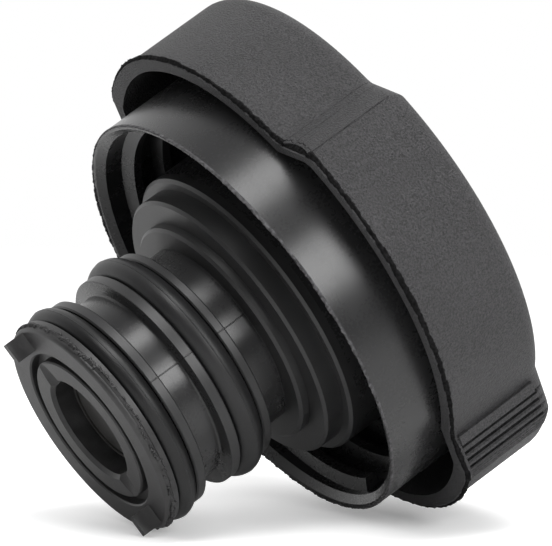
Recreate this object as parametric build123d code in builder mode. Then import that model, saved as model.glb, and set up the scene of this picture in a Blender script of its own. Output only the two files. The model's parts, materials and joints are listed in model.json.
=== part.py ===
"""Screw cap of a coolant expansion tank with a two-ring sealing stem and its valves."""
import os
from math import cos, radians, sin

from build123d import *

# Head and outline of the grip cover
head_thickness = 2.2
cover_wall = 2.0
cover_height = 16.2
head_round = 2.4
plain_rise = 4.5
plain_bulge = 0.45
ribbed_rise = 2.85
ribbed_bulge = 1.2
lobe_count = 4
step_angle = 24.5
step_half_angle = 5.0
plain_step_shift = -1.3
ribbed_crest_round = 2.4
plain_crest_round = 0.6
foot_round = 1.8
hollow_crest_round = 3.0
hollow_foot_round = 0.9
rim_chamfer = 0.35
skirt_clearance = 0.45

# Grip face on every second step: a proud bar at the foot, then grooves, behind a lip on the rim
grip_lip = 1.0
lip_reach = 0.7
bar_start = 0.5
bar_end = 2.1
bar_rise = 0.5
groove_width = 0.85
groove_depth = 0.55
deep_groove_depth = 0.8
deep_groove_middle = 2.6
first_groove = 4.1
groove_pitch = 1.25
groove_count = 3

# Mould recess in the rim at each plain step
recess_depth = 0.55
recess_drop = 1.0

# Threaded skirt
skirt_radius = 30.8
skirt_wall = 1.6
skirt_height = 21.5
mouth_land = 0.55
lip_depth = 1.0
floor_gap = 0.6
floor_thickness = 2.2
thread_pitch = 5.0
thread_depth = 1.6
thread_base = 3.0
thread_crest = 1.3
thread_root_overlap = 0.5
thread_start_angle = 200.0
thread_below_mouth = 3.28
thread_above_floor = 3.94

# Posts that hold the cover to the skirt floor
post_count = 6
post_radius = 1.5
post_head_radius = 2.3
post_head_height = 1.0
post_play = 0.1

# Stepped root of the stem
step1_radius = 21.65
step1_drop = 0.7
step2_radius = 20.1
step2_rise = 3.0
step3_radius = 16.75
step3_rise = 1.5
root_wall = 2.2
step_bevel = 0.4
mouth_bevel = 0.12

# Stem flanges, grooves and rings
neck_radius = 13.6
neck_length = 4.35
flange_reach = 2.4
flange1_width = 1.4
ring1_cord = 4.0
ring2_cord = 3.2
groove_play = 0.14
ring_stretch_gap = 0.02
groove1_depth = 2.9
groove2_depth = 2.55
flange2_extra = 0.15
flange2_width = 2.0
shoulder = 2.05
waist_length = 1.75
flange3_width = 1.55
flange_bevel = 0.2

# Bore, ports and guide of the housing
bore_wall = 2.0
bore_floor_rise = 9.0
bore_floor_thickness = 2.2
guide_play = 0.06
guide_wall = 1.5
guide_length = 16.0
port_radius = 1.1
port_angle = 30.0

# End cap with two prongs
cap_thickness = 2.05
cap_overhang = 0.1
cap_edge_round = 0.6
ring_bevel = 0.2
opening_bevel = 0.5
flash_height = 1.1
flash_rise = 0.3
face_groove_width = 1.2
face_groove_depth = 1.4
inner_ring_width = 3.4
spigot_play = 0.04
spigot_length = 1.8
seat_width = 0.8
seat_height = 0.7
seat_inset = 0.6
seat_land = 0.7
prong_height = 2.45
prong_groove_gap = 0.6
prong_edge_gap = 0.5
prong_half_base = 1.7
prong_half_tip = 0.6
prong_root = 0.4
prong_waist = 0.4
prong_waist_share = 0.4
dip_radius = 2.0
dip_tilt = 20.0
dip_lift = 0.45
dip_inset = 0.8
dip_outer_gap = 0.2

# Pressure valve
plunger_gap = 1.3
plunger_plate = 2.2
seal_rim = 0.6
seal_rim_wall = 0.75
seal_thickness = 1.4
seal_hole_gap = 0.3
tube_radius = 5.6
tube_wall = 1.4
tube_length = 20.6
spring_wire = 1.5
spring_turns = 6.0
spring_gap = 0.6
spring_seat_gap = 0.03

# Vacuum valve
button_gap = 0.7
button_thickness = 1.0
button_rim = 0.25
button_rim_width = 0.5
button_lip = 0.4
button_lip_width = 0.8
button_lip_inset = 0.5
pin_radius = 1.4
pin_hole_gap = 0.7
pin_end = 0.4
washer_gap = 0.6
washer_thickness = 1.0
small_wire = 0.5
small_spring_gap = 0.6
small_spring_length = 8.0
small_turns = 5.0
small_seat_gap = 0.01

# How close two corners must lie to be taken as the same one
same_corner = 0.01

# Sizes and heights that follow from the ones above
lobe_pitch = 360.0 / lobe_count
lobe_small = skirt_radius + skirt_clearance + cover_wall
plain_big = lobe_small + plain_rise
ribbed_big = lobe_small + ribbed_rise
root_radius = skirt_radius - skirt_wall
floor_under = head_thickness + floor_gap
floor_top = floor_under + floor_thickness
post_circle = (step1_radius + root_radius) / 2
mouth_z = floor_under + skirt_height
step1_z = mouth_z - step1_drop
step2_z = step1_z + step2_rise
step3_z = step2_z + step3_rise
flange1_z = step3_z + neck_length
groove1_z = flange1_z + flange1_width
groove1_end = groove1_z + ring1_cord + groove_play
flange_radius = neck_radius + flange_reach
groove1_radius = flange_radius - groove1_depth
flange2_radius = flange_radius + flange2_extra
flange2_end = groove1_end + flange2_width
waist_radius = flange2_radius - shoulder
waist_z = flange2_end + shoulder
flange3_z = waist_z + waist_length
groove2_z = flange3_z + flange3_width
groove2_radius = flange_radius - groove2_depth
tip_z = groove2_z + ring2_cord + groove_play
face_z = tip_z + cap_thickness
spigot_z = tip_z - spigot_length
seal_z = spigot_z - seat_height
plate_top = seal_z - seal_thickness
plate_z = plate_top - plunger_plate
bore_radius = neck_radius - bore_wall
bore_floor_z = floor_top + bore_floor_rise
plunger_radius = bore_radius - plunger_gap
seal_radius = plunger_radius - seal_rim_wall - ring_stretch_gap
seat_outer = seal_radius - seat_inset
seat_inner = seat_outer - seat_width
opening_radius = seat_inner - seat_land
groove_inner = opening_radius + inner_ring_width
groove_outer = groove_inner + face_groove_width
cap_radius = flange_radius + cap_overhang
prong_inner = groove_outer + prong_groove_gap
prong_outer = cap_radius - prong_edge_gap
guide_inner = tube_radius + guide_play
guide_outer = guide_inner + guide_wall
guide_top = bore_floor_z + guide_length
spring_radius = guide_outer + spring_gap + spring_wire / 2
tube_bore = tube_radius - tube_wall
button_radius = opening_radius - button_gap
button_z = seal_z + button_lip
button_top = button_z + button_thickness
lip_outer = button_radius - button_lip_inset
lip_inner = lip_outer - button_lip_width
pin_hole = pin_radius + pin_hole_gap
washer_z = plate_z - small_spring_length
washer_radius = tube_bore - washer_gap
small_radius = pin_hole + small_spring_gap + small_wire / 2

os.makedirs("parts", exist_ok=True)


def polar(radius, angle):
    """Point of the XY plane at a radius and an angle in degrees."""
    return (radius * cos(radians(angle)), radius * sin(radians(angle)))


def is_plain(k):
    """Every second step is plain, the others carry ribs."""
    return k % lobe_count % 2 == 1


def step_middle(k):
    """Angle of the middle of step k; the plain steps sit a little off the even pitch."""
    return step_angle + k * lobe_pitch + is_plain(k) * plain_step_shift


def step_foot(k, inset):
    """Foot of step k, on the small end of a lobe, set in from the outline."""
    return polar(lobe_small - inset, step_middle(k) + step_half_angle)


def step_crest(k, inset):
    """Crest of step k, on the big end of a lobe; an inset below zero reaches out at the ribs only."""
    big = plain_big - max(inset, 0) if is_plain(k) else ribbed_big - inset
    return polar(big, step_middle(k) - step_half_angle)


def pinwheel(inset):
    """Closed line of arcs that shrink from crest to foot, joined by straight steps."""
    for k in range(lobe_count):
        big, bulge = (plain_big, plain_bulge) if is_plain(k) else (ribbed_big, ribbed_bulge)
        middle_radius = (big + lobe_small) / 2 + bulge - max(inset, 0)
        lobe_middle = (step_middle(k) + step_middle(k - 1)) / 2
        foot = step_foot(k - 1, max(inset, 0))
        ThreePointArc(step_crest(k, inset), polar(middle_radius, lobe_middle), foot)
        Line(step_foot(k, max(inset, 0)), step_crest(k, inset))


def corners_at(sketch, places):
    """Corners of a sketch that lie at the given places."""
    near = [Vector(*place) for place in places]
    return sketch.vertices().filter_by(
        lambda corner: any((Vector(corner.X, corner.Y) - place).length < same_corner for place in near)
    )


# Grip cover
ribbed_steps = [k for k in range(lobe_count) if not is_plain(k)]
plain_steps = [k for k in range(lobe_count) if is_plain(k)]
with BuildPart() as cover:
    with BuildSketch() as outline:
        with BuildLine():
            pinwheel(0)
        make_face()
        fillet(corners_at(outline, [step_crest(k, 0) for k in ribbed_steps]), ribbed_crest_round)
        fillet(corners_at(outline, [step_crest(k, 0) for k in plain_steps]), plain_crest_round)
        fillet(corners_at(outline, [step_foot(k, 0) for k in range(lobe_count)]), foot_round)
    extrude(amount=cover_height)
    fillet(cover.faces().sort_by(Axis.Z)[0].edges(), head_round)
    for k in ribbed_steps:
        foot = Vector(*step_foot(k, 0))
        flank = (Vector(*step_crest(k, 0)) - foot).normalized()
        outward = Vector(-flank.Y, flank.X)
        with BuildSketch(Plane.XY.offset(head_round)):
            with BuildLine():
                Polyline(
                    foot + flank * bar_start - outward * bar_rise,
                    foot + flank * bar_start + outward * bar_rise,
                    foot + flank * bar_end + outward * bar_rise,
                    foot + flank * bar_end - outward * bar_rise,
                    close=True,
                )
            make_face()
        extrude(amount=cover_height - grip_lip - head_round)
        grooves = [(deep_groove_middle, deep_groove_depth)]
        for step in range(groove_count):
            grooves.append((first_groove + step * groove_pitch, groove_depth))
        for along, depth in grooves:
            mouth = foot + flank * along + outward * bar_rise
            side = flank * (groove_width / 2)
            with BuildSketch():
                with BuildLine():
                    Polyline(
                        foot + flank * along - outward * depth,
                        foot + flank * along - side,
                        mouth - side,
                        mouth + side,
                        foot + flank * along + side,
                        close=True,
                    )
                make_face()
            extrude(amount=cover_height - grip_lip, mode=Mode.SUBTRACT)
    with BuildSketch(Plane.XY.offset(cover_height - grip_lip)) as lip:
        with BuildLine():
            pinwheel(-lip_reach)
        make_face()
        fillet(corners_at(lip, [step_crest(k, -lip_reach) for k in ribbed_steps]), ribbed_crest_round)
        fillet(corners_at(lip, [step_crest(k, -lip_reach) for k in plain_steps]), plain_crest_round)
        fillet(corners_at(lip, [step_foot(k, 0) for k in range(lobe_count)]), foot_round)
    extrude(amount=grip_lip)
    chamfer(cover.faces().sort_by(Axis.Z)[-1].edges(), rim_chamfer)
    with BuildSketch(Plane.XY.offset(head_thickness)) as hollow:
        with BuildLine():
            pinwheel(cover_wall)
        make_face()
        fillet(corners_at(hollow, [step_crest(k, cover_wall) for k in range(lobe_count)]), hollow_crest_round)
        fillet(corners_at(hollow, [step_foot(k, cover_wall) for k in range(lobe_count)]), hollow_foot_round)
    extrude(amount=cover_height, mode=Mode.SUBTRACT)
    for k in plain_steps:
        foot = Vector(*step_foot(k, 0))
        crest = Vector(*step_crest(k, 0))
        flank = (crest - foot).normalized()
        outward = Vector(-flank.Y, flank.X)
        half = (crest - foot).length / 2
        rim_middle = (foot + crest) / 2 - outward * recess_depth + Vector(0, 0, cover_height)
        with BuildSketch(Plane(origin=rim_middle, x_dir=flank * -1, z_dir=outward)):
            with BuildLine():
                ThreePointArc((-half, 0), (0, -recess_drop), (half, 0))
                Line((half, 0), (-half, 0))
            make_face()
        extrude(amount=cover_wall, mode=Mode.SUBTRACT)
    with BuildSketch(Plane.XY.offset(head_thickness)):
        with PolarLocations(post_circle, post_count):
            Circle(post_head_radius)
    extrude(amount=floor_gap)
    with BuildSketch(Plane.XY.offset(head_thickness)):
        with PolarLocations(post_circle, post_count):
            Circle(post_radius)
    extrude(amount=floor_top - head_thickness)
    with BuildSketch(Plane.XY.offset(floor_top)):
        with PolarLocations(post_circle, post_count):
            Circle(post_head_radius)
    extrude(amount=post_head_height)
cover.part.label = "cover"
export_step(cover.part, "parts/cover.step")

# Threaded skirt, root steps and stem in one moulding
with BuildPart() as insert_body:
    with BuildSketch(Plane.XZ) as profile:
        with BuildLine():
            Polyline(
                (skirt_radius, floor_under),
                (skirt_radius, mouth_z),
                (skirt_radius - mouth_land, mouth_z),
                (root_radius, mouth_z - lip_depth),
                (root_radius, floor_top),
                (step1_radius, floor_top),
                (step1_radius, step1_z),
                (step2_radius, step1_z),
                (step2_radius, step2_z),
                (step3_radius, step2_z),
                (step3_radius, step3_z),
                (neck_radius, step3_z),
                (neck_radius, flange1_z),
                (flange_radius, flange1_z),
                (flange_radius, groove1_z),
                (groove1_radius, groove1_z),
                (groove1_radius, groove1_end),
                (flange2_radius, groove1_end),
                (flange2_radius, flange2_end),
            )
            bulge = shoulder * sin(radians(45))
            ThreePointArc(
                (flange2_radius, flange2_end),
                (waist_radius + bulge, flange2_end + bulge),
                (waist_radius, waist_z),
            )
            Polyline(
                (waist_radius, waist_z),
                (waist_radius, flange3_z),
                (flange_radius, flange3_z),
                (flange_radius, groove2_z),
                (groove2_radius, groove2_z),
                (groove2_radius, tip_z),
                (bore_radius, tip_z),
                (bore_radius, bore_floor_z),
                (guide_outer, bore_floor_z),
                (guide_outer, guide_top),
                (guide_inner, guide_top),
                (guide_inner, bore_floor_z),
                (0, bore_floor_z),
                (0, bore_floor_z - bore_floor_thickness),
                (neck_radius, bore_floor_z - bore_floor_thickness),
                (neck_radius, step2_z - root_wall),
                (step2_radius - root_wall, step2_z - root_wall),
                (step2_radius - root_wall, step1_z - root_wall),
                (step1_radius - root_wall, step1_z - root_wall),
                (step1_radius - root_wall, floor_under),
                (skirt_radius, floor_under),
            )
        make_face()
        mouth_edges = [(skirt_radius, mouth_z), (skirt_radius - mouth_land, mouth_z)]
        chamfer(corners_at(profile, mouth_edges), mouth_bevel)
        step_edges = [(step1_radius, step1_z), (step2_radius, step2_z), (step3_radius, step3_z)]
        chamfer(corners_at(profile, step_edges), step_bevel)
        flange_edges = [(flange_radius, z) for z in (flange1_z, groove1_z, flange3_z, groove2_z)]
        chamfer(corners_at(profile, flange_edges + [(flange2_radius, groove1_end)]), flange_bevel)
    revolve(axis=Axis.Z)
    with BuildSketch(Plane.XY.offset(floor_under)):
        with PolarLocations(post_circle, post_count):
            Circle(post_radius + post_play)
    extrude(amount=floor_thickness, mode=Mode.SUBTRACT)
    for angle in (270 - port_angle, 270 + port_angle):
        side = Vector(*polar(1, angle))
        with BuildSketch(Plane(origin=(0, 0, waist_z + waist_length / 2), x_dir=(0, 0, 1), z_dir=side)):
            Circle(port_radius)
        extrude(amount=waist_radius + shoulder, mode=Mode.SUBTRACT)
    flank_slope = (thread_base - thread_crest) / 2 / thread_depth
    buried_half = thread_base / 2 + thread_root_overlap * flank_slope
    thread_start = floor_top + thread_above_floor
    turn_height = mouth_z - thread_below_mouth - thread_start
    with BuildLine(Plane.XY.offset(thread_start)) as helix:
        Helix(pitch=thread_pitch, height=turn_height, radius=root_radius)
    path = helix.line.rotate(Axis.Z, thread_start_angle)
    start = path @ 0
    with BuildSketch(Plane(origin=start, x_dir=(start.X, start.Y, 0), z_dir=path % 0)):
        with BuildLine():
            Polyline(
                (thread_root_overlap, buried_half),
                (-thread_depth, thread_crest / 2),
                (-thread_depth, -thread_crest / 2),
                (thread_root_overlap, -buried_half),
                close=True,
            )
        make_face()
    sweep(path=path, is_frenet=True)
insert_body.part.label = "insert_body"
export_step(insert_body.part, "parts/insert_body.step")

# Upper sealing ring
with BuildPart() as upper_o_ring:
    cord = ring1_cord / 2
    with BuildSketch(Plane.XZ):
        with Locations((groove1_radius + ring_stretch_gap + cord, (groove1_z + groove1_end) / 2)):
            Circle(cord)
    revolve(axis=Axis.Z)
upper_o_ring.part.label = "upper_o_ring"
export_step(upper_o_ring.part, "parts/upper_o_ring.step")

# Lower sealing ring
with BuildPart() as lower_o_ring:
    cord = ring2_cord / 2
    with BuildSketch(Plane.XZ):
        with Locations((groove2_radius + ring_stretch_gap + cord, (groove2_z + tip_z) / 2)):
            Circle(cord)
    revolve(axis=Axis.Z)
lower_o_ring.part.label = "lower_o_ring"
export_step(lower_o_ring.part, "parts/lower_o_ring.step")

# End cap welded on the tip, with the valve seat and two prongs
with BuildPart() as end_cap:
    weld_z = tip_z + flash_height
    spigot_radius = bore_radius - spigot_play
    with BuildSketch(Plane.XZ) as disc:
        with BuildLine():
            Polyline(
                (opening_radius, spigot_z),
                (seat_inner, spigot_z),
                (seat_inner, seal_z),
                (seat_outer, seal_z),
                (seat_outer, spigot_z),
                (spigot_radius, spigot_z),
                (spigot_radius, tip_z),
                (cap_radius, tip_z),
                (cap_radius, weld_z - flash_rise),
                (cap_radius + flash_rise, weld_z),
                (cap_radius, weld_z + flash_rise),
                (cap_radius, face_z),
                (groove_outer, face_z),
                (groove_outer, face_z - face_groove_depth),
                (groove_inner, face_z - face_groove_depth),
                (groove_inner, face_z),
                (opening_radius + opening_bevel, face_z),
                (opening_radius, face_z - opening_bevel),
                (opening_radius, spigot_z),
            )
        make_face()
        fillet(corners_at(disc, [(cap_radius, face_z)]), cap_edge_round)
        chamfer(corners_at(disc, [(groove_outer, face_z), (groove_inner, face_z)]), ring_bevel)
    revolve(axis=Axis.Z)
    hollow_y = prong_half_tip + prong_waist
    hollow_z = prong_height * prong_waist_share
    for side in (1, -1):
        inner_end = Plane(origin=(side * prong_inner, 0, face_z), x_dir=(0, side, 0), z_dir=(side, 0, 0))
        with BuildSketch(inner_end):
            with BuildLine():
                Line((-prong_half_base, -prong_root), (prong_half_base, -prong_root))
                Line((prong_half_base, -prong_root), (prong_half_base, 0))
                ThreePointArc((prong_half_base, 0), (hollow_y, hollow_z), (prong_half_tip, prong_height))
                Line((prong_half_tip, prong_height), (-prong_half_tip, prong_height))
                ThreePointArc((-prong_half_tip, prong_height), (-hollow_y, hollow_z), (-prong_half_base, 0))
                Line((-prong_half_base, 0), (-prong_half_base, -prong_root))
            make_face()
        extrude(amount=prong_outer - prong_inner)
    for side in (1, -1):
        slope = (side * cos(radians(dip_tilt)), 0, sin(radians(dip_tilt)))
        dip_foot = (side * (opening_radius - dip_inset), 0, face_z + dip_lift)
        with BuildSketch(Plane(origin=dip_foot, x_dir=(0, 1, 0), z_dir=slope)):
            Circle(dip_radius)
        extrude(amount=inner_ring_width + dip_inset - dip_outer_gap, mode=Mode.SUBTRACT)
end_cap.part.label = "end_cap"
export_step(end_cap.part, "parts/end_cap.step")

# Pressure valve plunger with its guide tube
with BuildPart() as pressure_plunger:
    with BuildSketch(Plane.XZ):
        with BuildLine():
            Polyline(
                (pin_hole, plate_z),
                (tube_bore, plate_z),
                (tube_bore, plate_z - tube_length),
                (tube_radius, plate_z - tube_length),
                (tube_radius, plate_z),
                (plunger_radius, plate_z),
                (plunger_radius, plate_top + seal_rim),
                (plunger_radius - seal_rim_wall, plate_top + seal_rim),
                (plunger_radius - seal_rim_wall, plate_top),
                (pin_hole, plate_top),
                (pin_hole, plate_z),
            )
        make_face()
    revolve(axis=Axis.Z)
pressure_plunger.part.label = "pressure_plunger"
export_step(pressure_plunger.part, "parts/pressure_plunger.step")

# Rubber seal on the plunger
with BuildPart() as pressure_seal:
    with BuildSketch(Plane.XY.offset(plate_top)):
        Circle(seal_radius)
        Circle(pin_hole + seal_hole_gap, mode=Mode.SUBTRACT)
    extrude(amount=seal_thickness)
pressure_seal.part.label = "pressure_seal"
export_step(pressure_seal.part, "parts/pressure_seal.step")

# Pressure spring
with BuildPart() as pressure_spring:
    rise = plate_z - bore_floor_z - spring_wire
    with BuildLine(Plane.XY.offset(bore_floor_z + spring_wire / 2)) as coil:
        Helix(pitch=rise / spring_turns, height=rise, radius=spring_radius)
    with BuildSketch(Plane(origin=coil.line @ 0, x_dir=(1, 0, 0), z_dir=coil.line % 0)):
        Circle(spring_wire / 2 - spring_seat_gap)
    sweep(path=coil.line, is_frenet=True)
pressure_spring.part.label = "pressure_spring"
export_step(pressure_spring.part, "parts/pressure_spring.step")

# Vacuum valve button with its pin
with BuildPart() as vacuum_button:
    pin_foot = washer_z - washer_thickness - pin_end
    with BuildSketch(Plane.XZ):
        with BuildLine():
            Polyline(
                (0, pin_foot),
                (pin_radius, pin_foot),
                (pin_radius, button_z),
                (lip_inner, button_z),
                (lip_inner, seal_z),
                (lip_outer, seal_z),
                (lip_outer, button_z),
                (button_radius, button_z),
                (button_radius, button_top + button_rim),
                (button_radius - button_rim_width, button_top + button_rim),
                (button_radius - button_rim_width, button_top),
                (0, button_top),
                (0, pin_foot),
            )
        make_face()
    revolve(axis=Axis.Z)
vacuum_button.part.label = "vacuum_button"
export_step(vacuum_button.part, "parts/vacuum_button.step")

# Push-on washer that keeps the small spring on the pin
with BuildPart() as vacuum_washer:
    with BuildSketch(Plane.XY.offset(washer_z - washer_thickness)):
        Circle(washer_radius)
        Circle(pin_radius + ring_stretch_gap, mode=Mode.SUBTRACT)
    extrude(amount=washer_thickness)
vacuum_washer.part.label = "vacuum_washer"
export_step(vacuum_washer.part, "parts/vacuum_washer.step")

# Vacuum spring
with BuildPart() as vacuum_spring:
    rise = plate_z - washer_z - small_wire
    with BuildLine(Plane.XY.offset(washer_z + small_wire / 2)) as coil:
        Helix(pitch=rise / small_turns, height=rise, radius=small_radius)
    with BuildSketch(Plane(origin=coil.line @ 0, x_dir=(1, 0, 0), z_dir=coil.line % 0)):
        Circle(small_wire / 2 - small_seat_gap)
    sweep(path=coil.line, is_frenet=True)
vacuum_spring.part.label = "vacuum_spring"
export_step(vacuum_spring.part, "parts/vacuum_spring.step")
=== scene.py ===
"""Looks of a screw cap for a coolant expansion tank: flash, weld bead, mould lines, coils, finishes and stage."""

import json

import bpy
import numpy as np
from bpy.props import FloatProperty, FloatVectorProperty, IntProperty, PointerProperty
from mathutils import Matrix, Vector


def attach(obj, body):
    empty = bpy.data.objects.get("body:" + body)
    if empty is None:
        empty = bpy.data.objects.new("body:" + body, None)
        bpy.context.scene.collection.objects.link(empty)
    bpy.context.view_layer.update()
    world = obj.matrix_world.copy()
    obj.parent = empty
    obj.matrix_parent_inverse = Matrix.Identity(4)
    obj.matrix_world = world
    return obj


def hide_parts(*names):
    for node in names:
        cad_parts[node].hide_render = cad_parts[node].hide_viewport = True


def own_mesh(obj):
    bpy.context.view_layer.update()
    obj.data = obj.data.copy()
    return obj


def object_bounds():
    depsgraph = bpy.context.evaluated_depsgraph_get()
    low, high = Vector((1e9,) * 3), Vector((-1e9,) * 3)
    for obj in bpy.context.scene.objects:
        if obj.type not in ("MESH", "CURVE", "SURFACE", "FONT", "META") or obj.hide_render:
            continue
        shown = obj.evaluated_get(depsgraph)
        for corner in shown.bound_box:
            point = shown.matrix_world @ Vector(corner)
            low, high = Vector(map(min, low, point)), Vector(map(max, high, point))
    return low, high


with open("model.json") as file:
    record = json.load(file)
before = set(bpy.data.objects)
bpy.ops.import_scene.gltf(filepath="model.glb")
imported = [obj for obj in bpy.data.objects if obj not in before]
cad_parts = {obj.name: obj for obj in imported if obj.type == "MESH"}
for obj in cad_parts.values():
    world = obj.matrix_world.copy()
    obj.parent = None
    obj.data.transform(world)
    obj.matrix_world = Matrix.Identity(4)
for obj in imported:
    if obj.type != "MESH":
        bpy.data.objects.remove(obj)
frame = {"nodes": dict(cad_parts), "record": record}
CAD_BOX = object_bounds()

bl_info = {
    "name": "Expansion tank cap looks",
    "version": (1, 0, 0),
    "blender": (4, 5, 0),
    "location": "View3D > Sidebar > Tank cap",
    "description": "Dresses the cap with flash, coils, finishes and a studio stage",
    "category": "Object",
}

MM = 0.001

# Meshes of the pieces that stand for a CAD node, by node
STAND_INS = {}


def shown_mesh(node):
    """Mesh that shows a node: that of the piece which stands for it, or else the CAD node's own."""
    return STAND_INS.get(node, frame["nodes"][node].data)


def node_points(node):
    """Vertices of a node as one array of rows x, y, z in metres."""
    mesh = shown_mesh(node)
    flat = np.empty(len(mesh.vertices) * 3, np.float32)
    mesh.vertices.foreach_get("co", flat)
    return flat.reshape(-1, 3).astype(float)


def node_triangles(node):
    """Corners of a node's triangles, as an array of triangle, corner, x y z."""
    mesh = shown_mesh(node)
    corners = np.empty(len(mesh.polygons) * 3, np.int32)
    mesh.polygons.foreach_get("vertices", corners)
    return node_points(node)[corners].reshape(-1, 3, 3)


def plane_cut(triangles, normal, offset):
    """Segments where triangles cross a plane: each crossed edge is divided by its ends' distances."""
    apart = triangles @ np.asarray(normal) - offset
    ahead = np.roll(apart, -1, axis=1)
    crossed = (apart > 0) != (ahead > 0)
    share = apart / np.where(crossed, apart - ahead, 1.0)
    points = triangles + (np.roll(triangles, -1, axis=1) - triangles) * share[..., None]
    return points[crossed].reshape(-1, 2, 3)


def radius_round(node, height, turn):
    """Farthest radius of a node's level cut at each angle: each ray from the axis meets the cut's segments."""
    ends = plane_cut(node_triangles(node), (0.0, 0.0, 1.0), height)[..., :2]
    ray = np.stack([np.cos(turn), np.sin(turn)], -1)
    side = ends @ np.stack([-ray[:, 1], ray[:, 0]])
    along = ends @ ray.T
    met = (side[:, 0] > 0) != (side[:, 1] > 0)
    share = side[:, 0] / np.where(met, side[:, 0] - side[:, 1], 1.0)
    return np.where(met, along[:, 0] + (along[:, 1] - along[:, 0]) * share, 0.0).max(0)


def radius_along(node, angle, heights):
    """Farthest radius of a node's cut by the half-plane at one angle, at each height."""
    out = np.array((np.cos(angle), np.sin(angle), 0.0))
    cut = plane_cut(node_triangles(node), (-np.sin(angle), np.cos(angle), 0.0), 0.0)
    radius, level = cut @ out, cut[..., 2]
    rise = level[:, 1] - level[:, 0]
    share = (heights[:, None] - level[:, 0]) / np.where(np.abs(rise) > 1e-9, rise, 1.0)
    met = (share >= 0) & (share <= 1) & (np.abs(rise) > 1e-9)
    return np.where(met, radius[:, 0] + (radius[:, 1] - radius[:, 0]) * share, 0.0).max(1)


class CapSizes(bpy.types.PropertyGroup):
    """Sizes of the small pieces that the mould, the weld and the springs leave on the cap."""

    rim_flash: FloatProperty(
        name="Rim flash", description="How far the cover's flash stands out", default=0.30 * MM, unit="LENGTH")
    step_flash: FloatProperty(
        name="Step flash", description="Extra flash at the plain steps", default=0.22 * MM, unit="LENGTH")
    step_angle: FloatProperty(
        name="Step angle", description="Where the near plain step sits", default=np.radians(113.2), subtype="ANGLE")
    step_line: FloatProperty(
        name="Step line", description="Width of the lines along a plain step", default=0.20 * MM, unit="LENGTH")
    ear_angle: FloatProperty(
        name="Ear angle", description="Where the near ribbed ear has its crest", default=np.radians(18.5),
        subtype="ANGLE")
    ear_rib: FloatProperty(
        name="Ear rib", description="Width of the fine ribs past an ear's crest", default=0.44 * MM, unit="LENGTH")
    rim_edge: FloatProperty(
        name="Rim edge", description="How far below the rim its flash runs", default=0.36 * MM, unit="LENGTH")
    mouth_flash: FloatProperty(
        name="Mouth flash", description="How far the skirt's flash stands up", default=0.26 * MM, unit="LENGTH")
    nib: FloatProperty(
        name="Nib", description="How far the skirt's torn nib stands out", default=0.42 * MM, unit="LENGTH")
    nib_angle: FloatProperty(
        name="Nib angle", description="Where the skirt's torn nib sits", default=np.radians(231.0), subtype="ANGLE")
    weld_bead: FloatProperty(
        name="Weld bead", description="Thickness of the end cap's weld bead", default=0.30 * MM, unit="LENGTH")
    parting_width: FloatProperty(
        name="Parting line", description="Width of the stem's parting lines", default=0.30 * MM, unit="LENGTH")
    parting_rise: FloatProperty(
        name="Parting rise", description="How far the parting lines stand out", default=0.09 * MM, unit="LENGTH")
    parting_angle: FloatProperty(
        name="Parting angle", description="Where the parting line runs up the stem",
        default=np.radians(91.0), subtype="ANGLE")
    ring_line: FloatProperty(
        name="Ring line", description="How far the rings' mould lines stand out", default=0.05 * MM, unit="LENGTH")
    shoulder_low: FloatProperty(
        name="Shoulder start", description="Height where the middle flange's shoulder starts",
        default=39.99 * MM, unit="LENGTH")
    shoulder_high: FloatProperty(
        name="Shoulder end", description="Height where the shoulder meets the waist",
        default=42.04 * MM, unit="LENGTH")
    waist_radius: FloatProperty(
        name="Waist radius", description="Radius of the stem's waist", default=14.10 * MM, unit="LENGTH")
    disc_radius: FloatProperty(
        name="Disc radius", description="Radius of the middle flange", default=16.15 * MM, unit="LENGTH")
    disc_drop: FloatProperty(
        name="Disc drop", description="How far the disc's face lies below the shoulder's start",
        default=0.50 * MM, unit="LENGTH")
    coil_turns: FloatProperty(name="Coil turns", description="Turns of the pressure spring", default=7.5)
    small_coil_turns: FloatProperty(name="Small coil turns", description="Turns of the vacuum spring", default=6.5)
    flash_steps: IntProperty(
        name="Flash steps", description="Points round one ragged edge", default=2400, min=200)


class CapColours(bpy.types.PropertyGroup):
    """Base colours of the cap's finishes, in linear light."""

    cover: FloatVectorProperty(
        name="Cover", description="Grained charcoal plastic", subtype="COLOR", default=(0.048, 0.047, 0.049))
    body: FloatVectorProperty(
        name="Body", description="Smooth black plastic", subtype="COLOR", default=(0.020, 0.020, 0.0205))
    end_cap: FloatVectorProperty(
        name="End cap", description="Satin black plastic", subtype="COLOR", default=(0.024, 0.0235, 0.024))
    ring: FloatVectorProperty(
        name="Rings", description="Black sealing rubber", subtype="COLOR", default=(0.012, 0.012, 0.0125))
    # Lower ring: the rings' rubber made darker, painted shade for the ring sunk between its flanges
    ring_painted_shade: FloatVectorProperty(
        name="Lower ring", description="Dull black sealing rubber", subtype="COLOR", default=(0.005, 0.005, 0.0053))
    valve: FloatVectorProperty(
        name="Valve", description="Dark valve plastic", subtype="COLOR", default=(0.022, 0.021, 0.020))
    steel: FloatVectorProperty(
        name="Steel", description="Drawn spring wire", subtype="COLOR", default=(0.55, 0.55, 0.56))


class Socket:
    """An output socket used in Python expressions; each operator adds one Math node."""

    def __init__(self, nodes, output):
        self.nodes = nodes
        self.output = output

    def math(self, operation, *values):
        return self.nodes.add("ShaderNodeMath", {"operation": operation}, dict(enumerate(values)))

    def __add__(self, other):
        return self.math("ADD", self, other)

    def __radd__(self, other):
        return self.math("ADD", other, self)

    def __sub__(self, other):
        return self.math("SUBTRACT", self, other)

    def __rsub__(self, other):
        return self.math("SUBTRACT", other, self)

    def __mul__(self, other):
        return self.math("MULTIPLY", self, other)

    def __rmul__(self, other):
        return self.math("MULTIPLY", other, self)

    def __truediv__(self, other):
        return self.math("DIVIDE", self, other)

    def __gt__(self, other):
        return self.math("GREATER_THAN", self, other)

    def __lt__(self, other):
        return self.math("LESS_THAN", self, other)


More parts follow.
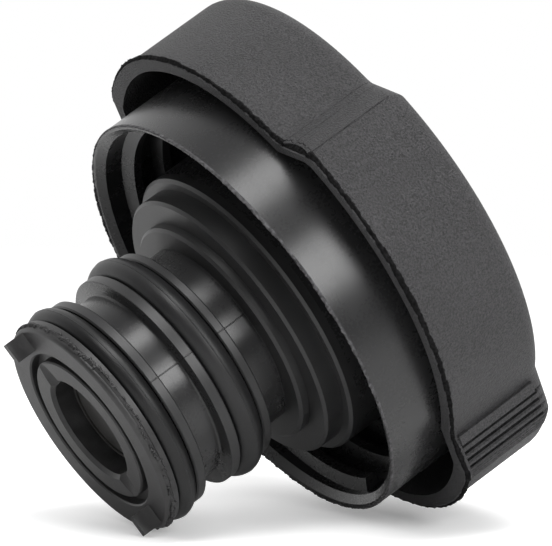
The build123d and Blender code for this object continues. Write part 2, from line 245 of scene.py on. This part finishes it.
class Nodes:
    """The node tree of one material or world, filled node by node."""

    def __init__(self, tree):
        self.tree = tree
        tree.nodes.clear()

    def add(self, kind, settings=None, values=None, output=0):
        """Adds a node, sets its settings, then its sockets' values or links, and returns one output."""
        node = self.tree.nodes.new(kind)
        for name, value in (settings or {}).items():
            if name == "stops":
                self.set_stops(node.color_ramp, value)
            else:
                setattr(node, name, value)
        for name, value in (values or {}).items():
            if isinstance(value, Socket):
                self.tree.links.new(value.output, node.inputs[name])
            else:
                node.inputs[name].default_value = value
        return Socket(self, node.outputs[output] if node.outputs else None)

    @staticmethod
    def set_stops(ramp, stops):
        """Puts (position, grey) stops on a colour ramp, which starts with two."""
        for place, grey in stops[2:]:
            ramp.elements.new(place)
        for element, (place, grey) in zip(sorted(ramp.elements, key=lambda e: e.position), sorted(stops)):
            element.position = place
            element.color = (grey, grey, grey, 1.0)

    def place(self, scale=(1.0, 1.0, 1.0)):
        """Object coordinates, stretched by a scale on each axis."""
        coordinates = self.add("ShaderNodeTexCoord", output="Object")
        return self.add("ShaderNodeMapping", {}, {"Vector": coordinates, "Scale": scale})

    def radius_height(self):
        """Distance from the cap's axis, and height along it."""
        coordinates = self.add("ShaderNodeTexCoord", output="Object")
        flat = self.add("ShaderNodeMapping", {}, {"Vector": coordinates, "Scale": (1.0, 1.0, 0.0)})
        radius = self.add("ShaderNodeVectorMath", {"operation": "LENGTH"}, {0: flat}, output="Value")
        height = self.add("ShaderNodeSeparateXYZ", {}, {0: coordinates}, output="Z")
        return radius, height

    def noise(self, vector, scale, detail=2.0, roughness=0.5):
        """Fractal noise from 0 to 1."""
        return self.add("ShaderNodeTexNoise", {}, {
            "Vector": vector, "Scale": scale, "Detail": detail, "Roughness": roughness}, output=0)

    def ramp(self, factor, stops):
        """Grey ramp of a factor."""
        return self.add("ShaderNodeValToRGB", {"stops": stops}, {"Fac": factor})

    def mix(self, factor, first, second):
        """Colour between two colours."""
        return self.add("ShaderNodeMix", {"data_type": "RGBA"}, {0: factor, 6: first, 7: second}, output=2)

    def bump(self, height, strength, distance):
        """Normal bent by a height."""
        return self.add("ShaderNodeBump", {}, {"Height": height, "Strength": strength, "Distance": distance})

    def finish(self, **sockets):
        """Principled surface with the given sockets, joined to the output."""
        surface = self.add("ShaderNodeBsdfPrincipled", {}, {k.replace("_", " "): v for k, v in sockets.items()})
        self.add("ShaderNodeOutputMaterial", {}, {"Surface": surface})


def new_material(name):
    """Empty material with its node tree wrapped."""
    material = bpy.data.materials.new(name)
    material.use_nodes = True
    return material, Nodes(material.node_tree)


def rgba(colour, gain=1.0):
    """Colour property as four numbers, made lighter or darker by a gain."""
    return tuple(min(1.0, c * gain) for c in colour) + (1.0,)


def grained_plastic(colour):
    """Spark-eroded grain: fine noise in height and in tone, with a slow drift of tone."""
    material, n = new_material("grained_charcoal_plastic")
    place = n.place()
    grain = n.noise(place, 3900.0, 2.0, 0.6)
    drift = n.noise(place, 90.0, 3.0, 0.5)
    speck = n.ramp(grain, [(0.34, 0.0), (0.70, 1.0)])
    patch = n.ramp(drift, [(0.35, 0.0), (0.7, 1.0)])
    tone = n.mix(speck, rgba(colour, 0.46), rgba(colour, 1.46))
    lighter = n.mix(speck, rgba(colour, 0.56), rgba(colour, 1.70))
    n.finish(Base_Color=n.mix(patch, tone, lighter), Roughness=0.50 + 0.16 * grain, Specular_IOR_Level=0.42,
             Normal=n.bump(grain, 1.0, 0.00042))
    return material


def smooth_plastic(colour):
    """Gloss black moulding: turned rings in height, clouds in gloss, and satin flange rims."""
    material, n = new_material("smooth_black_plastic")
    radius, height = n.radius_height()
    ringed = n.add("ShaderNodeCombineXYZ", {}, {"X": radius, "Y": height, "Z": 0.0})
    rings = n.noise(ringed, 5200.0, 3.0, 0.6)
    cloud = n.noise(n.place(), 170.0, 3.0, 0.55)
    fine = n.noise(n.place(), 2600.0, 2.0, 0.5)
    stem = height > 30.0 * MM
    shoulder = (height > 39.56 * MM) * (height < 43.7 * MM)
    rim = stem * (radius > 15.5 * MM) * (1 - shoulder)
    root = (height > 22.0 * MM) * (height < 28.3 * MM) * (radius < 22.0 * MM)
    dull = rim.math("MAXIMUM", rim, root)
    base = n.mix(cloud, rgba(colour, 0.8), rgba(colour, 1.35))
    n.finish(Base_Color=base, Roughness=0.20 + 0.10 * cloud + 0.05 * fine + 0.14 * dull, Specular_IOR_Level=0.5,
             Normal=n.bump(0.6 * rings + 0.4 * fine, 0.09, 0.00006))
    return material


def satin_plastic(name, colour, low, high):
    """Satin moulding with a fine even texture and mottled tone and gloss."""
    material, n = new_material(name)
    fine = n.noise(n.place(), 2600.0, 3.0, 0.6)
    cloud = n.noise(n.place(), 420.0, 4.0, 0.6)
    base = n.mix(n.ramp(cloud, [(0.3, 0.0), (0.7, 1.0)]), rgba(colour, 0.62), rgba(colour, 1.45))
    n.finish(Base_Color=base, Roughness=low + (high - low) * cloud, Specular_IOR_Level=0.5,
             Normal=n.bump(0.6 * fine + 0.4 * cloud, 0.40, 0.00010))
    return material


def sealing_rubber(name, colour):
    """Dark rubber with a thin greasy sheen that comes and goes."""
    material, n = new_material(name)
    fine = n.noise(n.place(), 2200.0, 3.0, 0.6)
    grease = n.noise(n.place(), 190.0, 4.0, 0.6)
    base = n.mix(grease, rgba(colour, 0.75), rgba(colour, 1.5))
    n.finish(Base_Color=base, Roughness=0.32 + 0.24 * grease, Specular_IOR_Level=0.45,
             Normal=n.bump(fine, 0.22, 0.00006))
    return material


def torn_plastic(name, colour, low, high, shine):
    """Torn flash: dull, with coarse pits in height and tone."""
    material, n = new_material(name)
    pits = n.noise(n.place(), 1900.0, 4.0, 0.65)
    base = n.mix(n.ramp(pits, [(0.38, 0.0), (0.66, 1.0)]), rgba(colour, low), rgba(colour, high))
    n.finish(Base_Color=base, Roughness=0.62 + 0.3 * pits, Specular_IOR_Level=shine,
             Normal=n.bump(pits, 0.8, 0.0002))
    return material


def drawn_steel(colour):
    """Drawn wire: bright metal with fine lines and small dull patches."""
    material, n = new_material("drawn_spring_steel")
    lines = n.noise(n.place((1.0, 1.0, 9.0)), 700.0, 3.0, 0.6)
    patches = n.noise(n.place(), 300.0, 3.0, 0.5)
    base = n.mix(patches, rgba(colour, 0.72), rgba(colour, 1.1))
    n.finish(Base_Color=base, Metallic=1.0, Roughness=0.24 + 0.18 * lines,
             Normal=n.bump(lines, 0.12, 0.00004))
    return material


def grid_mesh(name, points, closed_u, closed_v, material):
    """Mesh of a grid of points, rows along u and columns along v, joined at its seams where closed."""
    rows, columns = points.shape[:2]
    u = np.arange(rows if closed_u else rows - 1)
    v = np.arange(columns if closed_v else columns - 1)
    u, v = np.meshgrid(u, v, indexing="ij")
    next_u, next_v = (u + 1) % rows, (v + 1) % columns
    quads = np.stack([u * columns + v, next_u * columns + v, next_u * columns + next_v, u * columns + next_v], -1)
    mesh = bpy.data.meshes.new(name)
    mesh.from_pydata(points.reshape(-1, 3), [], quads.reshape(-1, 4))
    mesh.polygons.foreach_set("use_smooth", np.ones(len(mesh.polygons), bool))
    mesh.materials.append(material)
    mesh.update()
    return mesh


def grid_piece(name, points, closed_u, closed_v, material, body="cap_body"):
    """Piece shown as a grid's mesh, which rides on a body of the cap."""
    piece = bpy.data.objects.new(name, grid_mesh(name, points, closed_u, closed_v, material))
    bpy.context.scene.collection.objects.link(piece)
    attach(piece, body)
    return piece


def ragged(turn, seed, low, high):
    """Ragged height round an edge, from low to high: a sum of sines of rising pitch with fixed phases."""
    draw = np.random.default_rng(seed)
    pitch = np.array([3, 7, 13, 29, 61, 113, 197, 331])
    share = np.array([1.0, 0.8, 0.8, 0.7, 0.8, 0.7, 0.6, 0.5])
    phase = draw.uniform(0, 2 * np.pi, len(pitch))
    wave = (share * np.sin(np.outer(turn, pitch) + phase)).sum(1) / share.sum()
    height = np.clip(0.45 + 1.3 * wave, 0.0, 1.0)
    return low + (high - low) * height


def sweep_ring(turn, radius, height, profile):
    """Ring surface: each corner of the profile is offset (outward, along Z) from a path r(turn), z(turn)."""
    out = np.stack([radius + p[0] for p in profile], 1)
    up = np.stack([height + p[1] for p in profile], 1)
    return np.stack([out * np.cos(turn)[:, None], out * np.sin(turn)[:, None], up], -1)


def sweep_rib(angle, radius, height, width, rise):
    """Rib up the stem at one angle: corners (-width/2, sunk), (0, rise), (width/2, sunk) on a path r(s), z(s)."""
    out = np.array((np.cos(angle), np.sin(angle), 0.0))
    across = np.array((-np.sin(angle), np.cos(angle), 0.0))
    path = radius[:, None] * out + height[:, None] * np.array((0.0, 0.0, 1.0))
    corners = np.array([(-width / 2, -rise), (-width / 5, rise), (width / 5, rise), (width / 2, -rise)])
    return path[:, None] + corners[:, :1] * across + corners[:, 1:] * out


def coil(radius, wire, low, high, turns, steps):
    """Wire on a helix: z climbs slowly on the close end turns, evenly between them, and the wire's ends are shut."""
    close_turns = 0.75
    close_rise = 2.02 * wire * close_turns
    s = np.linspace(0.0, 1.0, steps)
    turn = 2 * np.pi * turns * s
    dead = close_turns / turns
    share = np.clip((s - dead) / (1 - 2 * dead), 0.0, 1.0)
    close = close_rise * (np.minimum(s, dead) + np.maximum(s - 1 + dead, 0)) / dead
    z = low + wire + close + (high - low - 2 * wire - 2 * close_rise) * share
    path = np.stack([radius * np.cos(turn), radius * np.sin(turn), z], -1)
    out = np.stack([np.cos(turn), np.sin(turn), np.zeros_like(turn)], -1)
    along = np.gradient(path, axis=0)
    along /= np.linalg.norm(along, axis=1)[:, None]
    up = np.cross(out, along)
    corner = np.linspace(0, 2 * np.pi, 16, endpoint=False)
    path = np.concatenate([path[:1], path, path[-1:]])
    out, up = (np.concatenate([a[:1], a, a[-1:]]) for a in (out, up))
    full = np.concatenate([[0.0], np.ones(steps), [0.0]])
    ring = np.cos(corner)[None, :, None] * out[:, None] + np.sin(corner)[None, :, None] * up[:, None]
    return path[:, None] + wire * full[:, None, None] * ring


def finishes():
    """The cap's materials by slot, made once."""
    made = getattr(finishes, "made", None)
    if made is None:
        colours = bpy.context.scene.cap_colours
        made = {
            "cover_plastic": grained_plastic(colours.cover),
            # Flash plastic made far darker than the cover's: painted shade for the rim's shadowed gap and the ears'
            # grooves
            "flash_painted_shade": torn_plastic("torn_plastic_painted_shade", colours.cover, 0.04, 0.30, 0.08),
            "mouth_flash": torn_plastic("pale_torn_plastic", colours.cover, 0.5, 2.4, 0.4),
            "body_plastic": smooth_plastic(colours.body),
            "end_cap_plastic": satin_plastic("satin_end_cap_plastic", colours.end_cap, 0.34, 0.56),
            "ring_rubber": sealing_rubber("black_ring_rubber", colours.ring),
            "valve_plastic": satin_plastic("dark_valve_plastic", colours.valve, 0.42, 0.6),
            "seal_rubber": sealing_rubber("black_seal_rubber", colours.ring),
            "ring_rubber_painted_shade": sealing_rubber("ring_rubber_painted_shade", colours.ring_painted_shade),
            "spring_steel": drawn_steel(colours.steel),
        }
        finishes.made = made
    return made


class CAP_OT_mouldings(bpy.types.Operator):
    """Gives every moulded, rubber and steel CAD node its finish"""

    bl_idname = "cap.mouldings"
    bl_label = "Mouldings"

    def execute(self, context):
        for row in frame["record"]["subparts"]:
            mesh = frame["nodes"][row["node"]].data
            mesh.materials.clear()
            # The lower ring takes the darker copy of the rubber: painted shade
            dull = row["node"] == "lower_o_ring"
            mesh.materials.append(finishes()["ring_rubber_painted_shade" if dull else row["material_slot"]])
        return {"FINISHED"}


class CAP_OT_rim_flash(bpy.types.Operator):
    """Ragged fin where the cover's mould halves met, round the rim's outer edge; the fin is real, its very dark
    plastic is painted shade for the gap under it
    """

    bl_idname = "cap.rim_flash"
    bl_label = "Rim flash"

    def execute(self, context):
        sizes = context.scene.cap_sizes
        turn = np.linspace(0, 2 * np.pi, sizes.flash_steps, endpoint=False)
        edge = node_points("cover")[:, 2].max() - sizes.rim_edge
        levels = np.array((0.02, 0.35, 0.7, 1.05, 1.4)) * MM
        walls = np.stack([radius_round("cover", edge - level, turn) for level in levels])
        radius = walls[0]
        apart = (turn - sizes.step_angle + np.pi / 2) % np.pi - np.pi / 2
        torn = np.exp(-(apart / np.radians(4.5)) ** 4)
        ear = np.exp(-(((turn - sizes.ear_angle + np.pi / 2) % np.pi - np.pi / 2) / np.radians(6.5)) ** 4)
        fin = ragged(turn, 3, 0.15, 1.0) * (sizes.rim_flash + torn * sizes.step_flash)
        sag = ragged(turn, 4, -0.20, 0.08) * MM
        drop = 0.22 * MM - sag + ear * ragged(turn, 6, 0.30, 0.62) * MM + torn * ragged(turn, 7, 0.35, 1.0) * MM
        row = np.clip(np.searchsorted(levels, drop) - 1, 0, len(levels) - 2)
        column = np.arange(len(turn))
        share = np.clip((drop - levels[row]) / (levels[row + 1] - levels[row]), 0.0, 1.0)
        wall = walls[row, column] + (walls[row + 1, column] - walls[row, column]) * share - radius
        cover = ragged(turn, 5, -0.06, 0.20) * MM
        zero = np.zeros_like(turn)
        profile = [(wall - 0.12 * MM, -drop - 0.05 * MM), (wall + 0.05 * MM, -drop),
                   (np.maximum(fin * 0.35, wall * 0.6), sag - 0.12 * MM), (fin, sag),
                   (fin * 0.8, sag + 0.07 * MM), (zero + 0.02 * MM, zero + 0.10 * MM + cover * 0.3),
                   (zero - 0.20 * MM, zero + 0.26 * MM + cover), (zero - 0.38 * MM, zero + 0.12 * MM)]
        ring = sweep_ring(turn, radius, np.full_like(turn, edge), profile)
        grid_piece("cover_rim_flash", ring, True, True, finishes()["flash_painted_shade"])
        return {"FINISHED"}


class CAP_OT_step_lines(bpy.types.Operator):
    """Fine raised lines that the mould's insert leaves along the crest and the foot of each plain step"""

    bl_idname = "cap.step_lines"
    bl_label = "Step lines"

    def execute(self, context):
        sizes = context.scene.cap_sizes
        top = node_points("cover")[:, 2].max()
        spans = {"crest": (-4.5, 2.2, 1.0, 0.15), "flank": (1.2, 1.4, 1.5, 0.06), "foot": (3.7, 1.2, 1.2, 0.08)}
        for side, middle in (("near", sizes.step_angle), ("far", sizes.step_angle + np.pi)):
            for name, (turned, low, gap, rise) in spans.items():
                angle = middle + np.radians(turned)
                height = np.linspace(low * MM, top - gap * MM, 200)
                radius = radius_along("cover", angle, height)
                rib = sweep_rib(angle, radius, height, sizes.step_line, rise * MM)
                plastic = finishes()["cover_plastic"]
                grid_piece(f"step_line_{name}_{side}", rib, False, True, plastic)
        return {"FINISHED"}


class CAP_OT_ear_ribs(bpy.types.Operator):
    """Fine ribs that carry each ear's grip on past its crest, and dark strips of painted shade in its grooves"""

    bl_idname = "cap.ear_ribs"
    bl_label = "Ear ribs"

    # Degrees past the crest and rise in mm of each rib
    ribs = ((-0.4, 0.20), (-1.7, 0.19), (-3.0, 0.17), (-4.3, 0.13))
    # Foot of the near ear's flank in mm, the way along it and the way out of it
    foot = (28.94, 16.37)
    flank = (0.7624, -0.6471)
    outward = (0.6471, 0.7624)
    # Place along the flank, width and depth in mm of each groove's strip of painted shade
    grooves = ((2.6, 0.78, 0.06), (4.1, 0.46, 0.22), (5.35, 0.46, 0.22), (6.6, 0.40, 0.24))

    def execute(self, context):
        sizes = context.scene.cap_sizes
        top = node_points("cover")[:, 2].max()
        height = np.linspace(0.35 * MM, top - 1.02 * MM, 160)
        for side, crest in (("near", sizes.ear_angle), ("far", sizes.ear_angle + np.pi)):
            for k, (turned, rise) in enumerate(self.ribs):
                angle = crest + np.radians(turned)
                rib = sweep_rib(angle, radius_along("cover", angle, height), height, sizes.ear_rib, rise * MM)
                plastic = finishes()["cover_plastic"]
                grid_piece(f"ear_rib_{k + 1}_{side}", rib, False, True, plastic)
        height = np.linspace(1.9 * MM, top - 1.1 * MM, 60)
        for side, way in (("near", 1.0), ("far", -1.0)):
            foot, flank, outward = (way * np.array(v) for v in (self.foot, self.flank, self.outward))
            for k, (along, width, depth) in enumerate(self.grooves):
                middle = foot * MM + flank * along * MM - outward * depth * MM
                edges = np.stack([middle - flank * width * MM / 2, middle + flank * width * MM / 2])
                strip = np.concatenate([np.broadcast_to(edges, (len(height), 2, 2)),
                                        np.repeat(height, 2).reshape(-1, 2, 1)], -1)
                # A dark strip laid in the groove's floor: painted shade
                groove_painted_shade = finishes()["flash_painted_shade"]
                grid_piece(f"ear_dirt_{k + 1}_{side}", strip, False, False, groove_painted_shade)
        return {"FINISHED"}


class CAP_OT_stem(bpy.types.Operator):
    """The insert's moulding with its middle flange as a disc: the shoulder's rings go to new radii and heights"""

    bl_idname = "cap.stem"
    bl_label = "Stem moulding"

    def execute(self, context):
        sizes = context.scene.cap_sizes
        node = frame["nodes"]["insert_body"]
        points = node_points("insert_body")
        turn = np.arctan2(points[:, 1], points[:, 0])
        radius, height = np.hypot(points[:, 0], points[:, 1]), points[:, 2]
        low, high, waist, rim = sizes.shoulder_low, sizes.shoulder_high, sizes.waist_radius, sizes.disc_radius
        on = (height > low - 0.02 * MM) & (height < high + 0.02 * MM) & (radius > waist - 0.02 * MM)
        face = low - sizes.disc_drop
        level = low + np.array((0.0, 0.29, 0.58, 0.85, 1.11, 1.34, 1.55, 2.05)) * MM
        out = np.array((rim, rim - 0.13 * MM, waist + 0.20 * MM, waist + 0.03 * MM, waist, waist, waist, waist))
        up = np.concatenate([face + np.array((0.0, 0.11, 0.19, 0.35, 0.61)) * MM, [low + 0.9 * MM], level[-2:]])
        radius = np.where(on, np.interp(points[:, 2], level, out), radius)
        height = np.where(on, np.interp(points[:, 2], level, up), height)
        moved = np.stack([radius * np.cos(turn), radius * np.sin(turn), height], -1)
        mesh = node.data.copy()
        mesh.name = "stem_moulding"
        corner = np.empty(len(mesh.loops), np.int32)
        mesh.loops.foreach_get("vertex_index", corner)
        normals = np.empty(len(mesh.loops) * 3, np.float32)
        mesh.corner_normals.foreach_get("vector", normals)
        normals = np.where(on[corner][:, None], 0.0, normals.reshape(-1, 3))
        mesh.vertices.foreach_set("co", moved.astype(np.float32).ravel())
        mesh.update()
        mesh.set_sharp_from_angle(angle=np.radians(28.0))
        mesh.normals_split_custom_set(normals)
        piece = bpy.data.objects.new("stem_moulding", mesh)
        context.scene.collection.objects.link(piece)
        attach(piece, "cap_body")
        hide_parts("insert_body")
        STAND_INS["insert_body"] = mesh
        return {"FINISHED"}


class CAP_OT_mouth_flash(bpy.types.Operator):
    """Thin ragged fin on the skirt's mouth, with a torn nib on one side"""

    bl_idname = "cap.mouth_flash"
    bl_label = "Mouth flash"

    def execute(self, context):
        sizes = context.scene.cap_sizes
        turn = np.linspace(0, 2 * np.pi, sizes.flash_steps, endpoint=False)
        points = node_points("insert_body")
        reach = np.hypot(points[:, 0], points[:, 1])
        edge = reach.max()
        mouth = points[reach > edge - 1.0 * MM][:, 2].max()
        fin = ragged(turn, 8, 0.05, 1.0) * sizes.mouth_flash
        away = np.degrees(turn - sizes.nib_angle)
        torn = np.exp(-(away / 2.6) ** 2) * (0.55 + 0.45 * np.cos(np.radians(away * 130.0)))
        nib = torn * sizes.nib
        zero = np.zeros_like(turn)
        profile = [(zero - 0.06 * MM, zero - 0.5 * MM), (nib, zero - 0.28 * MM),
                   (nib * 0.9 + 0.03 * MM, zero - 0.08 * MM), (zero - 0.02 * MM, fin * 0.7), (zero - 0.09 * MM, fin),
                   (zero - 0.17 * MM, fin * 0.6), (zero - 0.26 * MM, zero - 0.10 * MM)]
        ring = sweep_ring(turn, np.full_like(turn, edge), np.full_like(turn, mouth), profile)
        grid_piece("skirt_mouth_flash", ring, True, True, finishes()["mouth_flash"])
        return {"FINISHED"}


class CAP_OT_weld_bead(bpy.types.Operator):
    """Uneven bead of molten plastic where the end cap is welded to the stem's tip"""

    bl_idname = "cap.weld_bead"
    bl_label = "Weld bead"

    def execute(self, context):
        sizes = context.scene.cap_sizes
        turn = np.linspace(0, 2 * np.pi, sizes.flash_steps, endpoint=False)
        points = node_points("end_cap")
        reach = np.hypot(points[:, 0], points[:, 1])
        edge = reach.max()
        height = points[reach > edge - 0.01 * MM][:, 2].mean()
        thick = ragged(turn, 12, 0.25, 1.0) * sizes.weld_bead
        wander = ragged(turn, 13, -0.34, 0.34) * MM
        corner = np.linspace(0, 2 * np.pi, 8, endpoint=False)
        profile = [(thick * np.cos(c) - 0.20 * MM, wander + thick * np.sin(c)) for c in corner]
        ring = sweep_ring(turn, np.full_like(turn, edge), np.full_like(turn, height), profile)
        grid_piece("end_cap_weld_bead", ring, True, True, finishes()["end_cap_plastic"])
        return {"FINISHED"}


class CAP_OT_parting_lines(bpy.types.Operator):
    """Raised lines up both sides of the stem where its mould halves met"""

    bl_idname = "cap.parting_lines"
    bl_label = "Parting lines"

    def execute(self, context):
        sizes = context.scene.cap_sizes
        spans = {"neck": (28.2, 33.8), "waist": (38.05, 45.30)}
        for side, angle in (("near", sizes.parting_angle), ("far", sizes.parting_angle + np.pi)):
            for name, (low, high) in spans.items():
                height = np.linspace(low, high, 240) * MM
                radius = radius_along("insert_body", angle, height)
                rib = sweep_rib(angle, radius, height, sizes.parting_width, sizes.parting_rise)
                plastic = finishes()["body_plastic"]
                grid_piece(f"parting_line_{name}_{side}", rib, False, True, plastic)
        return {"FINISHED"}


class CAP_OT_ring_lines(bpy.types.Operator):
    """Fine mould line round the outside of each sealing ring"""

    bl_idname = "cap.ring_lines"
    bl_label = "Ring mould lines"

    def execute(self, context):
        sizes = context.scene.cap_sizes
        turn = np.linspace(0, 2 * np.pi, 720, endpoint=False)
        for node in ("upper_o_ring", "lower_o_ring"):
            points = node_points(node)
            reach = np.hypot(points[:, 0], points[:, 1]).max()
            middle = (points[:, 2].max() + points[:, 2].min()) / 2
            rise = ragged(turn, 21, 0.4, 1.0) * sizes.ring_line
            zero = np.zeros_like(turn)
            profile = [(zero - 0.06 * MM, zero - 0.16 * MM), (rise, zero - 0.03 * MM), (rise, zero + 0.03 * MM),
                       (zero - 0.06 * MM, zero + 0.16 * MM)]
            ring = sweep_ring(turn, np.full_like(turn, reach), np.full_like(turn, middle), profile)
            grid_piece(f"{node}_mould_line", ring, True, True, finishes()["ring_rubber"])
        return {"FINISHED"}


class CAP_OT_coils(bpy.types.Operator):
    """The two coil springs, each riding on its body"""

    bl_idname = "cap.coils"
    bl_label = "Coils"

    def execute(self, context):
        sizes = context.scene.cap_sizes
        for node, body, joint, turns, from_top, keep in (
                ("pressure_spring", "cap_body", "pressure_slide", sizes.coil_turns, False, 26.08 / 28.58),
                ("vacuum_spring", "pressure_valve", "vacuum_slide", sizes.small_coil_turns, True, 6.8 / 8.0)):
            points = node_points(node)
            reach = np.hypot(points[:, 0], points[:, 1])
            wire = (reach.max() - reach.min()) / 2
            low, high = points[:, 2].min(), points[:, 2].max()
            grid = coil((reach.max() + reach.min()) / 2, wire, low, high, turns, int(90 * turns))
            piece = grid_piece(f"{node}_coil", grid, False, True, finishes()["spring_steel"], body)
            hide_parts(node)
            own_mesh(piece)
        return {"FINISHED"}


class CAP_OT_stage(bpy.types.Operator):
    """Pale floor under the lying cap, soft lamps, white surroundings and the camera"""

    bl_idname = "cap.stage"
    bl_label = "Stage"

    camera_place = Vector((-2.10, 1006.74, 377.02)) * MM
    right = Vector((0.59159, 0.27185, -0.75903))
    up = Vector((-0.80625, 0.19947, -0.55694))
    back = Vector((0.0, 0.94144, 0.33717))
    lens = 521.7
    sensor_width = 36.0
    floor_up = Vector((-0.79, 0.32, -0.52)).normalized()
    floor_radius = 0.30
    floor_fade = 0.20

    def camera(self, scene):
        data = bpy.data.cameras.new("photo_camera")
        data.sensor_fit = "HORIZONTAL"
        data.sensor_width = self.sensor_width
        data.lens = self.lens
        camera = bpy.data.objects.new("photo_camera", data)
        turn = Matrix((self.right, self.up, self.back)).transposed()
        camera.matrix_world = Matrix.Translation(self.camera_place) @ turn.to_4x4()
        scene.collection.objects.link(camera)
        scene.camera = camera

    def lamp(self, scene, name, side, lift, front, width, length, power):
        """Soft lamp at a place given by the picture's right, up and front, with its length along the cap's axis."""
        data = bpy.data.lights.new(name, "AREA")
        data.shape = "RECTANGLE"
        data.size = width
        data.size_y = length
        data.energy = power
        lamp = bpy.data.objects.new(name, data)
        middle = (CAD_BOX[0] + CAD_BOX[1]) / 2
        toward = self.right * side + self.up * lift + self.back * front
        lamp.location = middle + toward
        lamp.rotation_euler = toward.to_track_quat("Z", "Y").to_euler()
        scene.collection.objects.link(lamp)

    def floor(self, scene):
        """Disc under the cap's lowest points, square to the floor's own up, which fades out at its edge; its glow is
        darkened near the cap as a painted contact shadow.
        """
        low = min((node_points(name) @ np.array(self.floor_up)).min() for name in frame["nodes"])
        middle = (CAD_BOX[0] + CAD_BOX[1]) / 2
        foot = middle - self.floor_up * (middle.dot(self.floor_up) - low)
        across = self.floor_up.cross(self.right).normalized()
        along = across.cross(self.floor_up).normalized()
        radius = np.linspace(0.0, self.floor_radius, 24)
        turn = np.linspace(0, 2 * np.pi, 96, endpoint=False)
        flat = np.outer(radius, np.cos(turn))[..., None] * np.array(along)
        flat = flat + np.outer(radius, np.sin(turn))[..., None] * np.array(across)
        material, n = new_material("pale_floor")
        seen = n.add("ShaderNodeLightPath", output="Is Camera Ray")
        edge = n.add("ShaderNodeAttribute", {"attribute_name": "fade"}, output="Fac")
        under = n.add("ShaderNodeNewGeometry", output="Backfacing")
        matt = n.add("ShaderNodeBsdfDiffuse", {}, {"Color": (0.82, 0.82, 0.82, 1.0)})
        # Ambient occlusion darkens the floor's glow close to the cap: painted contact shadow
        open_sky = n.add("ShaderNodeAmbientOcclusion", {"samples": 8}, {"Distance": 0.014}, output="AO")
        shade = n.mix(open_sky, (0.30, 0.30, 0.30, 1.0), (1.0, 1.0, 1.0, 1.0))
        glow = n.add("ShaderNodeEmission", {}, {"Color": shade, "Strength": 0.66 * seen})
        lit = n.add("ShaderNodeAddShader", {}, {0: matt, 1: glow})
        clear = n.add("ShaderNodeBsdfTransparent")
        shown = n.add("ShaderNodeMixShader", {}, {0: edge * (1 - under), 1: clear, 2: lit})
        n.add("ShaderNodeOutputMaterial", {}, {"Surface": shown})
        mesh = grid_mesh("floor", flat + np.array(foot), False, True, material)
        share = np.repeat(np.clip((self.floor_radius - radius) / self.floor_fade, 0, 1), len(turn))
        fade = mesh.attributes.new("fade", "FLOAT", "POINT")
        fade.data.foreach_set("value", share.astype(np.float32))
        floor = bpy.data.objects.new("floor", mesh)
        scene.collection.objects.link(floor)

    def world(self, scene):
        """White to the camera; white behind the cap and dimmer on the lamps' side to mirrored and scattered rays."""
        world = bpy.data.worlds.new("studio")
        world.use_nodes = True
        scene.world = world
        n = Nodes(world.node_tree)
        seen = n.add("ShaderNodeLightPath", output="Is Camera Ray")
        through = n.add("ShaderNodeLightPath", output="Is Transmission Ray")
        mirrored = n.add("ShaderNodeLightPath", output="Is Glossy Ray")
        way = n.add("ShaderNodeTexCoord", output="Generated")
        ahead = n.add("ShaderNodeVectorMath", {"operation": "DOT_PRODUCT"}, {0: way, 1: tuple(self.back)},
                      output="Value")
        backdrop = n.add("ShaderNodeMapRange", {"clamp": True}, {
            "Value": ahead, "From Min": 0.15, "From Max": -0.50, "To Min": 0.15, "To Max": 1.0})
        white = seen.math("MAXIMUM", seen, through)
        around = n.add("ShaderNodeMapRange", {"clamp": True}, {
            "Value": ahead, "From Min": 0.35, "From Max": -0.35, "To Min": 0.34, "To Max": 0.60})
        indoors = mirrored * backdrop + (1 - mirrored) * around
        level = white + (1 - white) * indoors
        light = n.add("ShaderNodeBackground", {}, {"Color": (1.0, 1.0, 1.0, 1.0), "Strength": level})
        n.add("ShaderNodeOutputWorld", {}, {"Surface": light})

    def execute(self, context):
        scene = context.scene
        scene.view_settings.view_transform = "Standard"
        self.camera(scene)
        self.floor(scene)
        self.world(scene)
        self.lamp(scene, "top_softbox", 0.08, 0.68, 0.30, 0.25, 1.00, 5.6)
        self.lamp(scene, "front_softbox", 0.37, 0.24, 0.53, 0.31, 0.32, 2.5)
        return {"FINISHED"}


class CAP_PT_sidebar(bpy.types.Panel):
    """Lists the cap's sizes, colours and pieces"""

    bl_idname = "CAP_PT_sidebar"
    bl_label = "Tank cap"
    bl_space_type = "VIEW_3D"
    bl_region_type = "UI"
    bl_category = "Tank cap"

    def draw(self, context):
        for group in (context.scene.cap_sizes, context.scene.cap_colours):
            for name in group.bl_rna.properties.keys():
                if name not in ("rna_type", "name"):
                    self.layout.prop(group, name)
        for operator in OPERATORS:
            self.layout.operator(operator.bl_idname)


OPERATORS = (CAP_OT_mouldings, CAP_OT_stem, CAP_OT_rim_flash, CAP_OT_step_lines, CAP_OT_ear_ribs, CAP_OT_mouth_flash,
             CAP_OT_weld_bead, CAP_OT_parting_lines, CAP_OT_ring_lines, CAP_OT_coils, CAP_OT_stage)
CLASSES = (CapSizes, CapColours, *OPERATORS, CAP_PT_sidebar)


def register():
    """Makes the classes and the two groups of settings known."""
    for kind in CLASSES:
        bpy.utils.register_class(kind)
    bpy.types.Scene.cap_sizes = PointerProperty(type=CapSizes)
    bpy.types.Scene.cap_colours = PointerProperty(type=CapColours)


def unregister():
    """Takes the classes and settings away again."""
    del bpy.types.Scene.cap_colours
    del bpy.types.Scene.cap_sizes
    for kind in reversed(CLASSES):
        bpy.utils.unregister_class(kind)


def main():
    """Makes every piece in order."""
    register()
    for operator in OPERATORS:
        group, name = operator.bl_idname.split(".")
        getattr(getattr(bpy.ops, group), name)()


if __name__ == "__main__":
    main()
